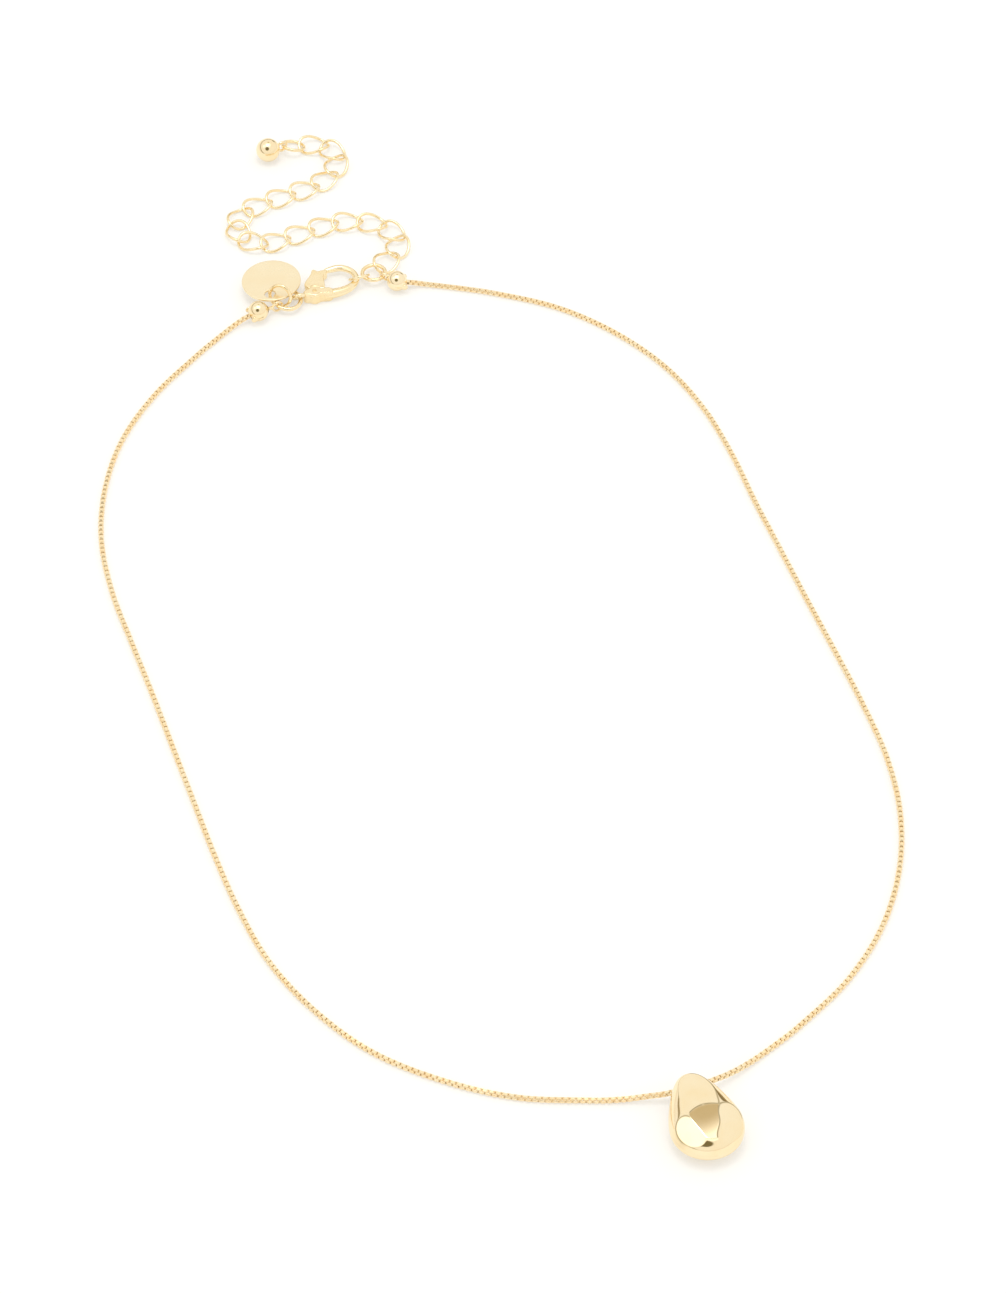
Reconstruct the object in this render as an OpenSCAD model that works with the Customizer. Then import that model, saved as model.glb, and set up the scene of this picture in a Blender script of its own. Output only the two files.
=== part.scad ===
// Teardrop pendant on a fine square box chain, with a hook clasp, a round tag and
// an extender chain. The clasp is closed and the necklace lies on a flat surface.
// Millimetres. +Z is up and the surface is z = 0. The pendant lies towards -Y and
// the extender towards +Y. The origin is the middle of the whole outline.

/* [Chain] */
// Outer width of the square chain
chain_w = 0.78; // [0.7:0.02:0.8]
// Corner cut of the chain's outline
chain_cut = 0.14; // [0.05:0.01:0.2]
// Greatest distance between two sections of the chain
chain_step = 5.2; // [5.2:0.2:10]

/* [Pendant] */
// Radius of the round lower end, seen from the front
drop_r = 4.8; // [4.6:0.1:5]
// Radius of the narrow upper end
drop_top_r = 2.15; // [2:0.05:2.3]
// Distance between the centres of the two ends
drop_d = 5.95; // [5.8:0.05:6.1]
// Height of the rim above the surface
drop_rim = 1.9; // [1.8:0.1:2]
// Height of the uncut front dome above the rim
drop_front = 3.05; // [3:0.05:3.2]
// Height of the middle facet above the surface
drop_top = 4.6; // [4.5:0.05:4.7]
// Diameter of the bore for the chain
drop_bore = 1.6; // [1.4:0.1:1.7]

/* [End cups] */
// Outer diameter of the round cups that hold the chain's ends
cup_d = 3; // [2.9:0.05:3.1]
// Wall of the cups
cup_wall = 0.35; // [0.3:0.05:0.4]
// Diameter of the hole for the chain
cup_bore = 1.2; // [1.16:0.02:1.3]
// Wire of the cups' loops
cup_loop_wire = 0.34; // [0.3:0.02:0.34]

/* [Tag] */
// Diameter of the tag
tag_d = 8.7; // [8.4:0.1:8.7]
// Thickness of the tag
tag_t = 0.34; // [0.3:0.02:0.34]
// Diameter of the tag's hole
tag_hole = 1.6; // [1.6:0.05:1.7]
// Distance of the hole from the tag's middle
tag_hole_off = 2.95; // [2.9:0.05:3]

/* [Rings] */
// Wire of the ring that holds the tag
tag_ring_wire = 0.52; // [0.45:0.01:0.52]
// Wire of the ring at the clasp's eye
jump_ring_wire = 0.62; // [0.5:0.01:0.62]
// Wire of the ring that the hook holds
hook_ring_wire = 0.42; // [0.38:0.01:0.42]
// Wire of the ring that joins the cup, the hook's ring and the extender
join_ring_wire = 0.58; // [0.5:0.01:0.58]

/* [Clasp] */
// Height of the clasp's head
head_h = 1.9; // [1.8:0.05:2]
// Thickness of each cheek of the head
cheek_t = 0.45; // [0.4:0.01:0.45]
// Diameter of the rivet
rivet_d = 0.7; // [0.6:0.05:0.8]
// Thickness of the lever outside the head
lever_t = 1.3; // [1.1:0.05:1.4]
// Play round the lever's rivet and in its slot
lever_play = 0.1; // [0.08:0.01:0.12]

/* [Extender] */
// Half the length of a link, at the middle of its wire
link_a = 2.26; // [2.2:0.02:2.3]
// Half the width of a link, at the middle of its wire
link_b = 1.7; // [1.65:0.01:1.75]
// Height of the twist that lets the links lie flat
link_twist = 0.44; // [0.42:0.01:0.46]
// Wire of the links
link_wire = 0.43; // [0.4:0.01:0.43]
// Diameter of the ball at the free end
ball_d = 3.6; // [3.4:0.1:3.7]

/* [Hidden] */
LINKS = [for (i = [1:18]) str("extender_link_", i)];

gold = [0.96, 0.80, 0.50];
pale_gold = [0.98, 0.87, 0.62];
deep_gold = [0.88, 0.66, 0.34];
ring_fn = 48;
wire_fn = 24;
eps = 0.01;

// Middle of each cup, with the heading and the fall of the chain that leaves it
cup_left = [-34.25, 57.0, 1.5];
cup_left_heading = 205;
cup_right = [-14.0, 63.35, 1.5];
cup_right_heading = 5;
cup_fall = 15;

// Route of the chain's middle, from the left cup round the left side to the pendant
route_left = [
    [-34.7, 56.8, 1.38], [-35.6, 56.4, 1.1], [-36.7, 55.8, 0.8], [-38.4, 54.3, 0.5],
    [-40.6, 51.8, 0.39], [-42.8, 49.1, 0.39], [-48.6, 41.0, 0.39], [-52.9, 31.9, 0.39],
    [-54.9, 22.2, 0.39], [-54.9, 12.2, 0.39], [-52.9, 2.4, 0.39], [-49.7, -7.1, 0.39],
    [-46.4, -16.5, 0.39], [-43.2, -26.0, 0.39], [-40.0, -35.5, 0.39], [-36.8, -44.9, 0.39],
    [-33.2, -54.3, 0.39], [-28.8, -63.2, 0.39], [-22.7, -71.1, 0.39], [-15.2, -77.7, 0.39],
    [-6.2, -82.2, 0.39], [3.3, -84.9, 0.39], [13.3, -85.4, 0.39], [17.2, -85.3, 0.55],
    [20.0, -85.2, 1.0], [22.4, -85.1, 1.4], [24.0, -84.7, 1.5], [25.3, -84.3, 1.5]];
// Route from the pendant round the right side to the right cup
route_right = [
    [25.3, -84.3, 1.5], [26.9, -83.7, 1.5], [28.8, -82.8, 1.4], [31.0, -81.4, 1.0],
    [33.6, -79.3, 0.55], [36.8, -76.5, 0.39], [39.9, -73.6, 0.39], [46.5, -66.1, 0.39],
    [51.4, -57.4, 0.39], [54.2, -47.8, 0.39], [54.9, -37.9, 0.39], [53.6, -28.0, 0.39],
    [50.8, -18.4, 0.39], [47.5, -8.9, 0.39], [44.1, 0.5, 0.39], [40.8, 9.9, 0.39],
    [37.5, 19.3, 0.39], [34.4, 28.9, 0.39], [30.6, 38.1, 0.39], [25.3, 46.5, 0.39],
    [18.2, 53.5, 0.39], [9.8, 58.8, 0.39], [0.3, 61.9, 0.39], [-7.3, 63.4, 0.39],
    [-9.8, 63.7, 0.5], [-11.5, 63.7, 0.8], [-12.5, 63.5, 1.1], [-13.5, 63.4, 1.4]];

// Pendant: place of its wide end, turn of its tip and softness of its waist
drop_place = [27.5, -90.85, 0];
drop_turn = 18.6;
drop_soft = 2;
drop_power = 2.55;
drop_power_swing = 0.35;
drop_back_power = 2.1;
drop_middle = [0, 2.25];
drop_sides = 48;
drop_levels = 7;
drop_bore_v = 6.85;
drop_bore_z = 1.7;
// Facets cut into the front: a point on the facet, that point's height above or below the
// middle facet's, the bearing that the facet falls to and its fall
drop_cuts = [
    [0, 4.2, -0.21, 87, 8.5],
    [-0.3, -0.5, 0, 269, 5.5],
    [2.5, -1.5, -0.72, -34, 25.5],
    [-2.9, -1.3, -0.64, 206, 29.3]];

// Clasp: place and turn of its frame, in which u runs from the eye to the hook
clasp_place = [-24.18, 62.81, 0];
clasp_turn = 23;
pivot = [-2.5, -1.0];
pivot_r = 1.1;
neck_end = [-3.6, -0.85];
neck_r = 0.6;
bar_end = [-0.4, -1.66];
bar_half = 0.6;
eye_place = [-4.8, -0.51, 1.09];
eye_r = 0.95;
eye_wire = 0.62;
eye_lean = [52.7, 82.6];
// Hook: u, v and z of its middle, its width and its height
hook_table = [
    [0.95, 3.05, 1.0, 0.8, 0.8], [2.2, 3.02, 1.0, 1.0, 1.0], [2.9, 2.87, 1.02, 1.0, 1.0],
    [3.5, 2.5, 1.04, 1.0, 0.96], [4.0, 1.95, 1.06, 0.98, 0.92], [4.4, 1.24, 1.06, 0.92, 0.92],
    [4.5, 0.5, 1.06, 0.92, 0.92], [4.4, -0.27, 1.06, 0.92, 0.92], [4.0, -0.9, 1.05, 1.0, 0.96],
    [3.4, -1.35, 1.02, 1.1, 1.06], [2.7, -1.64, 1.0, 1.2, 1.16], [1.5, -1.8, 0.96, 1.36, 1.3],
    [0.4, -1.74, 0.95, 1.45, 1.4], [-1.2, -1.54, 0.95, 1.4, 1.4]];
hook_sides = 12;
// Lever: outline of its blade, in the clasp's frame
blade_outline = [
    [-0.75, -0.7], [-0.38, 0.3], [-0.15, 1.2], [0.15, 1.95], [0.75, 2.25], [0.72, 2.85],
    [0.1, 2.98], [-0.45, 3.05], [-0.72, 3.42], [-0.95, 3.6], [-1.22, 3.5], [-1.45, 3.1],
    [-2.0, 2.5], [-2.7, 1.9], [-3.2, 1.3], [-3.25, 0.8], [-2.95, 0.1], [-2.6, -0.2],
    [-1.4, -0.6]];
tongue_outline = [[-2.8, -0.5], [-2.8, 0.6], [-1.9, 1.0], [-1.0, 0.6], [-0.95, -0.5], [-1.7, -0.9]];
tongue_r = 0.75;
slot_h = head_h - 2*cheek_t;
slot_r = tongue_r + 0.15;

// Cup loops: middle of each loop, the way it leans and its radius
loop_left = [-31.47, 58.38, 1.1];
loop_left_lean = [86.8, 296.9];
loop_left_r = 0.77;
loop_right = [-15.82, 64.61, 1.15];
loop_right_lean = [75, 60];
loop_right_r = 0.78;

// Rings: middle, radius at the middle of the wire, tilt and the bearing it tilts to
tag_ring_place = [-31.12, 59.82, 1.85];
tag_ring_r = 1.65;
tag_ring_lean = [70.6, 248.8];
jump_ring_place = [-30.01, 59.75, 1.13];
jump_ring_r = 1.89;
jump_ring_lean = [4.9, 327.1];
hook_ring_place = [-19.61, 64.37, 1.25];
hook_ring_r = 1.46;
hook_ring_lean = [45, 110];
join_ring_place = [-17.47, 65.51, 1.11];
join_ring_r = 1.69;
join_ring_lean = [4, 113];
tag_place = [-32.52, 63.03, 1.81];
tag_lean = [2.4, 143.7];
tag_hole_heading = -91.4;

// Extender: heading of each link from the clasp outwards
link_headings = [64, 82, 131, 164, 183, 206, 206, 204, 162, 111, 61, 30, 27, 25, 47, 77, 127, 178];
link_start = [-16.0, 66.2];
link_z = link_twist + link_wire/2 + eps;
link_inset = 0.30;
link_inset_bend = 0.18/45;
link_sides = 6;
link_segments = 16;
// The first link is lifted onto the join ring: shift, heading, roll and pitch
first_link_shift = [-0.56, 0.13, 0.26];
first_link_turn = [9.8, 3.3, 58];

// End of the extender
end_ring_place = [-30.19, 93.35, 0.88];
end_ring_r = 1.66;
end_ring_wire = 0.5;
end_ring_lean = [21.5, 66];
ball_place = [-33.9, 91.45, ball_d/2];
ball_eye_place = [-31.87, 92.78, 1.3];
ball_eye_r = 0.74;
ball_eye_wire = 0.4;
ball_eye_lean = [94, 120];

function unit(v) = v/norm(v);
function last(v) = len(v) - 1;
function along(v, w, t) = v + (w - v)*t;

// Slope of a route at point i, per unit of its length
function slope(p, i) =
    let(a = p[max(i - 1, 0)], m = p[i], b = p[min(i + 1, last(p))])
    (b - a)/(norm([for (k = [0:2]) b[k] - m[k]]) + norm([for (k = [0:2]) m[k] - a[k]]));

// Cubic curve through the points of a route, at fraction t of the stretch that follows point i
function curve_at(p, i, t) =
    let(w = norm([for (k = [0:2]) p[i + 1][k] - p[i][k]]))
    (2*t^3 - 3*t^2 + 1)*p[i] + (t^3 - 2*t^2 + t)*w*slope(p, i)
    + (3*t^2 - 2*t^3)*p[i + 1] + (t^3 - t^2)*w*slope(p, i + 1);

// The curve as points no more than gap apart
function smooth_route(p, gap) = concat(
    [for (i = [0:last(p) - 1])
        let(n = max(1, ceil(norm([for (k = [0:2]) p[i + 1][k] - p[i][k]])/gap)))
        for (j = [0:n - 1]) curve_at(p, i, j/n)],
    [p[last(p)]]);

// Section points placed square to the path at point i, with their second axis upwards
function section_at(path, section, i, closed) =
    let(n = len(path),
        a = closed ? path[(i + n - 1) % n] : path[max(i - 1, 0)],
        b = closed ? path[(i + 1) % n] : path[min(i + 1, n - 1)],
        ahead = unit(b - a),
        side = unit(cross(ahead, [0, 0, 1])),
        up = cross(side, ahead))
    [for (q = section) path[i] + q[0]*side + q[1]*up];

// Solid swept along a path, with one section for each point of the path
module sweep(path, sections, closed=false) {
    n = len(path);
    m = len(sections[0]);
    points = [for (i = [0:n - 1]) each section_at(path, sections[i], i, closed)];
    skin = [for (i = [0:n - (closed ? 1 : 2)]) for (k = [0:m - 1])
        [i*m + k, i*m + (k + 1) % m, ((i + 1) % n)*m + (k + 1) % m, ((i + 1) % n)*m + k]];
    caps = closed ? [] : [[for (k = [m - 1:-1:0]) k], [for (k = [0:m - 1]) (n - 1)*m + k]];
    polyhedron(points, concat(skin, caps), convexity=8);
}

// Oval section of a given width and height
function oval(w, h, sides) =
    [for (k = [0:sides - 1]) let(a = 360*(k + 0.5)/sides) [w/2*cos(a), h/2*sin(a)]];

// Children tilted towards a bearing without being turned
module lean(tilt_bearing) {
    rotate([0, tilt_bearing[0], tilt_bearing[1]]) rotate(-tilt_bearing[1]) children();
}

module wire_ring(place, radius, wire, tilt_bearing) {
    translate(place) lean(tilt_bearing)
        rotate_extrude($fn=ring_fn) translate([radius, 0]) circle(d=wire, $fn=wire_fn);
}

module rod(a, b, d) {
    v = b - a;
    translate(a) rotate([0, acos(v[2]/norm(v)), atan2(v[1], v[0])])
        cylinder(h=norm(v), d=d, $fn=wire_fn);
}

// One run of the square chain
module chain_run(route) {
    h = chain_w/2;
    c = h - chain_cut;
    section = [[h, -c], [h, c], [c, h], [-c, h], [-h, c], [-h, -c], [-c, -h], [c, -h]];
    path = [for (p = smooth_route(route, chain_step)) [p[0], p[1], max(p[2], h)]];
    sweep(path, [for (p = path) section]);
}

module chain_left() { color(gold) chain_run(route_left); }
module chain_right() { color(gold) chain_run(route_right); }

// Outline of the drop: reach of its edge in direction a from the tip, and that reach's slope
function drop_weight(a) = exp(drop_soft*(drop_top_r + drop_d*cos(a) - drop_r));
function drop_reach(a) = drop_r + ln(1 + drop_weight(a))/drop_soft;
function drop_reach_slope(a) = -drop_weight(a)/(1 + drop_weight(a))*drop_d*sin(a);
function drop_edge(a) =
    let(h = drop_reach(a), s = drop_reach_slope(a))
    [h*sin(a) + s*cos(a), h*cos(a) - s*sin(a)];

// Fullness of the front dome below the edge point e, greatest towards the drop's two ends
function drop_fullness(e) =
    let(d = e - drop_middle)
    drop_power + drop_power_swing*(1 - 2*d[0]*d[0]/(d*d));

// Shell of the drop: level 0 is the front's top, 1 the rim and 2 the back's middle
function drop_ring(level) =
    let(front = level <= 1,
        a = 90*(front ? level : 2 - level))
    [for (k = [0:drop_sides - 1])
        let(e = drop_edge(-360*k/drop_sides),
            power = front ? drop_fullness(e) : drop_back_power,
            p = along(drop_middle, e, pow(sin(a), 2/power)),
            rise = pow(cos(a), 2/power),
            z = front ? drop_rim + drop_front*rise : max(0, drop_rim - (drop_rim + 0.15)*rise))
        [p[0], p[1], z]];

module drop_shell() {
    rings = [for (j = [1:2*drop_levels - 1]) drop_ring(j/drop_levels)];
    n = len(rings);
    m = drop_sides;
    top = [drop_middle[0], drop_middle[1], drop_rim + drop_front];
    bottom = [drop_middle[0], drop_middle[1], 0];
    points = concat([for (r = rings) each r], [top, bottom]);
    skin_a = [for (j = [0:n - 2]) for (k = [0:m - 1])
        [j*m + k, j*m + (k + 1) % m, (j + 1)*m + (k + 1) % m]];
    skin_b = [for (j = [0:n - 2]) for (k = [0:m - 1])
        [j*m + k, (j + 1)*m + (k + 1) % m, (j + 1)*m + k]];
    cap_top = [for (k = [0:m - 1]) [n*m, (k + 1) % m, k]];
    cap_bottom = [for (k = [0:m - 1]) [n*m + 1, (n - 1)*m + k, (n - 1)*m + (k + 1) % m]];
    polyhedron(points, concat(skin_a, skin_b, cap_top, cap_bottom), convexity=4);
}

// Slanted cut that leaves a flat facet on the drop's front
module facet_cut(cut) {
    size = 4*drop_r;
    translate([cut[0], cut[1], drop_top + cut[2]]) rotate([0, cut[4], cut[3]])
        translate([-size/2, -size/2, 0]) cube(size);
}

module pendant() {
    color(pale_gold) translate(drop_place) rotate(drop_turn) difference() {
        drop_shell();
        for (cut = drop_cuts) facet_cut(cut);
        translate([-drop_r, drop_bore_v, drop_bore_z]) rotate([0, 90, 0])
            cylinder(h=2*drop_r, d=drop_bore, $fn=wire_fn);
    }
}

// Hollow round cup, with the chain's hole towards +X, a slit between its halves and two ears
module cup() {
    ear_d = 1;
    ear_t = 0.3;
    slit = 0.1;
    difference() {
        union() {
            sphere(d=cup_d, $fn=ring_fn);
            for (s = [-1, 1])
                translate([cup_d*0.36, s*cup_d*0.38, 0]) rotate([90, 0, 0])
                    translate([0, 0, -ear_t/2]) cylinder(h=ear_t, d=ear_d, $fn=wire_fn);
        }
        sphere(d=cup_d - 2*cup_wall, $fn=ring_fn);
        rotate([0, 90, 0]) cylinder(h=cup_d, d=cup_bore, $fn=wire_fn);
        translate([-cup_d/5, -cup_d, -slit/2]) cube([2*cup_d, 2*cup_d, slit]);
    }
}

module bead_tip(place, heading, loop, loop_lean, loop_r) {
    way = unit(loop - place);
    color(gold) {
        translate(place) rotate([0, cup_fall, heading]) cup();
        rod(place + way*(cup_d/2 - cup_wall/2), loop - way*(loop_r - cup_loop_wire/4), 2*cup_loop_wire);
        wire_ring(loop, loop_r, cup_loop_wire, loop_lean);
    }
}

module bead_tip_left() {
    bead_tip(cup_left, cup_left_heading, loop_left, loop_left_lean, loop_left_r);
}

module bead_tip_right() {
    bead_tip(cup_right, cup_right_heading, loop_right, loop_right_lean, loop_right_r);
}

module tag() {
    hole = tag_hole_off*[cos(tag_hole_heading), sin(tag_hole_heading)];
    color(pale_gold) translate(tag_place) lean(tag_lean) difference() {
        translate([0, 0, -tag_t/2]) cylinder(h=tag_t, d=tag_d, $fn=2*ring_fn);
        translate([hole[0], hole[1], -tag_t]) cylinder(h=2*tag_t, d=tag_hole, $fn=wire_fn);
    }
}

module tag_ring() { color(gold) wire_ring(tag_ring_place, tag_ring_r, tag_ring_wire, tag_ring_lean); }
module jump_ring() { color(gold) wire_ring(jump_ring_place, jump_ring_r, jump_ring_wire, jump_ring_lean); }
module hook_ring() { color(gold) wire_ring(hook_ring_place, hook_ring_r, hook_ring_wire, hook_ring_lean); }
module join_ring() { color(gold) wire_ring(join_ring_place, join_ring_r, join_ring_wire, join_ring_lean); }
module end_ring() { color(gold) wire_ring(end_ring_place, end_ring_r, end_ring_wire, end_ring_lean); }

module clasp_frame() { translate(clasp_place) rotate(clasp_turn) children(); }

// Strip with round ends between two points
module strip(a, b, half_width) {
    v = b - a;
    translate(a) rotate(atan2(v[1], v[0])) translate([0, -half_width]) square([norm(v), 2*half_width]);
}

// Outline of a cheek of the clasp's head
module cheek_outline() {
    translate(pivot) circle(r=pivot_r, $fn=ring_fn);
    translate(neck_end) circle(r=neck_r, $fn=ring_fn);
    strip(pivot, neck_end, neck_r);
    strip(pivot, bar_end, bar_half);
}

module clasp_body() {
    color(gold) clasp_frame() {
        difference() {
            union() {
                linear_extrude(head_h) cheek_outline();
                wire_ring(eye_place, eye_r, eye_wire, eye_lean);
            }
            translate([0, 0, cheek_t]) linear_extrude(slot_h) {
                translate(pivot) circle(r=slot_r, $fn=ring_fn);
                translate(pivot) square([2*pivot_r, 2*pivot_r]);
                translate(pivot) rotate(60) square([2*pivot_r, 2*pivot_r]);
            }
            translate([pivot[0], pivot[1], -eps]) cylinder(h=head_h + 2*eps, d=rivet_d, $fn=wire_fn);
        }
        sweep([for (r = hook_route()) [r[0], r[1], r[2]]],
              [for (r = hook_route()) oval(r[3], r[4], hook_sides)]);
    }
}

function hook_route() = smooth_route(hook_table, 0.6);

module clasp_rivet() {
    color(deep_gold) clasp_frame() translate([pivot[0], pivot[1], 0])
        cylinder(h=head_h, d=rivet_d, $fn=wire_fn);
}

module clasp_lever() {
    tongue_t = slot_h - 2*lever_play;
    color(gold) clasp_frame() difference() {
        union() {
            translate([0, 0, (head_h - lever_t)/2]) linear_extrude(lever_t) difference() {
                polygon(blade_outline);
                translate(pivot) circle(r=pivot_r + 0.12, $fn=ring_fn);
            }
            translate([0, 0, (head_h - tongue_t)/2]) linear_extrude(tongue_t) {
                translate(pivot) circle(r=tongue_r, $fn=ring_fn);
                intersection() {
                    polygon(tongue_outline);
                    translate(pivot) circle(r=pivot_r + 0.4, $fn=ring_fn);
                }
            }
        }
        translate([pivot[0], pivot[1], 0]) cylinder(h=head_h, d=rivet_d + 2*lever_play, $fn=wire_fn);
    }
}

// Extender: how far each link reaches into the next, and the places where they meet
function link_bend(i) =
    i <= 0 || i >= len(link_headings) ? 0 : abs(link_headings[i] - link_headings[i - 1]);
function link_reach(i) = link_inset + link_inset_bend*link_bend(i);
function link_way(i) = [cos(link_headings[i]), sin(link_headings[i])];
function link_joint(i) =
    i == 0 ? link_start
           : link_joint(i - 1) + (2*link_a - link_reach(i - 1) - link_reach(i))*link_way(i - 1);
function link_middle(i) = link_joint(i) + (link_a - link_reach(i))*link_way(i);

module link() {
    path = [for (k = [0:link_segments - 1]) let(t = 360*k/link_segments)
        [link_a*cos(t), link_b*sin(t), -link_twist*sin(2*t)]];
    section = oval(link_wire, link_wire, link_sides);
    sweep(path, [for (p = path) section], closed=true);
}

module extender_link(i) {
    m = link_middle(i);
    first = i == 0;
    shift = first ? first_link_shift : [0, 0, 0];
    turn = first ? first_link_turn : [0, 0, link_headings[i]];
    color(gold) translate([m[0], m[1], link_z] + shift) rotate(turn) link();
}

module end_drop() {
    color(gold) {
        translate(ball_place) sphere(d=ball_d, $fn=ring_fn);
        wire_ring(ball_eye_place, ball_eye_r, ball_eye_wire, ball_eye_lean);
    }
}

chain_left();
chain_right();
pendant();
bead_tip_left();
bead_tip_right();
tag();
tag_ring();
jump_ring();
clasp_body();
clasp_rivet();
clasp_lever();
hook_ring();
join_ring();
end_ring();
end_drop();
for (i = [0:17])
    extender_link(i);
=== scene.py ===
# Looks of a teardrop pendant necklace: box chain, pendant, clasp, tag and extender in pale gold
import math
import bpy
import numpy as np
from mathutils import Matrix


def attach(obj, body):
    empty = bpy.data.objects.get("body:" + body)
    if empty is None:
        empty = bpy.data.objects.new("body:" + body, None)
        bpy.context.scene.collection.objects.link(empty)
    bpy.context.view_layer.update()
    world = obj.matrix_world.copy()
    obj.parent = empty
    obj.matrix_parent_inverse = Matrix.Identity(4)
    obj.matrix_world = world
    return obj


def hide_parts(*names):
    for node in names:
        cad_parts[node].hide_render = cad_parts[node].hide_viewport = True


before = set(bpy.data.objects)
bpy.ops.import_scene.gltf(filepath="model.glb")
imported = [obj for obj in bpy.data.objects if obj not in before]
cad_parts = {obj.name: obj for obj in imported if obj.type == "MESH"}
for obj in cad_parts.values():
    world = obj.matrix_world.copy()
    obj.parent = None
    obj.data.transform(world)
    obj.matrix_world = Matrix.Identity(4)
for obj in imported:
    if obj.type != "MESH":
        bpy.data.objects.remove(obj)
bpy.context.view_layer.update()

mm = 0.001
print("frame loaded:", len(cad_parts), "nodes")


# Node maths

class Link:
    # A socket of a node; + - and * on it add Math nodes, also where a number comes first
    def __init__(self, paint, socket):
        self.paint = paint
        self.socket = socket

    def math(self, operation, first, second):
        # A Math node on two sockets or numbers
        return self.paint.add("ShaderNodeMath", {"operation": operation}, {0: first, 1: second})

    def __add__(self, other):
        return self.math("ADD", self, other)

    def __radd__(self, other):
        return self.math("ADD", other, self)

    def __sub__(self, other):
        return self.math("SUBTRACT", self, other)

    def __rsub__(self, other):
        return self.math("SUBTRACT", other, self)

    def __mul__(self, other):
        return self.math("MULTIPLY", self, other)

    def __rmul__(self, other):
        return self.math("MULTIPLY", other, self)


class Paint:
    # The node tree of one material or of the world
    def __init__(self, owner):
        owner.use_nodes = True
        self.tree = owner.node_tree
        self.tree.nodes.clear()

    def add(self, kind, settings={}, inputs={}, output=0):
        # One node: its settings first, then the values or links of its inputs
        made = self.tree.nodes.new(kind)
        for key, value in settings.items():
            if key == "stops":  # position and colour of each stop of a ramp
                ramp = made.color_ramp
                while len(ramp.elements) < len(value):
                    ramp.elements.new(0.5)
                for element, (position, colour) in zip(ramp.elements, value):
                    element.position = position
                    element.color = (*colour, 1)
            else:
                setattr(made, key, value)
        for key, value in inputs.items():
            if isinstance(value, Link):
                self.tree.links.new(value.socket, made.inputs[key])
            else:
                made.inputs[key].default_value = value
        if len(made.outputs):
            return Link(self, made.outputs[output])

    def mixColours(self, factor, first, second):
        # A Mix node's colours are its inputs 6 and 7 and its output 2
        first, second = (c if isinstance(c, Link) else (*c, 1) for c in (first, second))
        return self.add("ShaderNodeMix", {"data_type": "RGBA"}, {0: factor, 6: first, 7: second}, 2)

    def noise(self, place, scale, detail, rough):
        # Soft noise over a place, finer with a larger scale
        return self.add("ShaderNodeTexNoise", {}, {
            "Vector": place, "Scale": scale, "Detail": detail, "Roughness": rough})

    def shareOf(self, value, low, high):
        # How far a value is on the way from low to high, from 0 to 1
        return self.add("ShaderNodeMapRange", {}, {0: value, 1: low, 2: high})


def between(first, second, share):
    # The first value moved towards the second by a share of the way
    return first + share*(second - first)


# Gold

# Two tones, least and greatest roughness, fineness of the clouds and of the scratches, how the
# scratches are stretched, and strength of the bump
goldLook = {
    "polished": {"pale": (0.985, 0.845, 0.59), "deep": (0.97, 0.79, 0.49), "rough": (0.05, 0.11),
                 "cloud": 260, "grain": 5200, "stretch": (1, 1, 1), "bump": 0.05},
    "cast": {"pale": (0.99, 0.85, 0.58), "deep": (0.97, 0.78, 0.46), "rough": (0.13, 0.24),
             "cloud": 420, "grain": 6500, "stretch": (1, 1, 1), "bump": 0.12},
    "satin": {"pale": (0.985, 0.86, 0.61), "deep": (0.97, 0.82, 0.55), "rough": (0.24, 0.36),
              "cloud": 240, "grain": 7000, "stretch": (0.18, 1, 1), "bump": 0.16},
    "chain": {"pale": (0.995, 0.86, 0.60), "deep": (0.99, 0.76, 0.44), "rough": (0.3, 0.44),
              "cloud": 900, "grain": 9000, "stretch": (1, 1, 1), "bump": 0.1},
    "rivet": {"pale": (0.95, 0.72, 0.40), "deep": (0.90, 0.62, 0.30), "rough": (0.2, 0.3),
              "cloud": 900, "grain": 9000, "stretch": (1, 1, 1), "bump": 0.1},
}
goldLook["drop"] = {**goldLook["polished"], "line": (0.30, 0.22, 0.09)}  # painted dark reflection along its cuts' edges
goldMix = {
    "bumpDepth": 0.004*mm,
    "lineDepth": 0.88,            # strength of the painted dark reflection lines at the drop's cuts
    "paleScratch": 0.35,          # how much the scratches show in the colour
    "roughScratch": 0.6,          # how much they show in the roughness
    "cloudNoise": (2.0, 0.5),     # detail and roughness of the clouds' noise
    "grainNoise": (4.0, 0.65),    # the same of the scratches'
    "cloudSpan": (0.35, 0.65),    # noise values that count as no cloud and full cloud
    "grainSpan": (0.3, 0.7),      # the same for a scratch
    "grainTurn": (0, 0, 0.6),     # turn of the scratches, in radians
}


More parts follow.
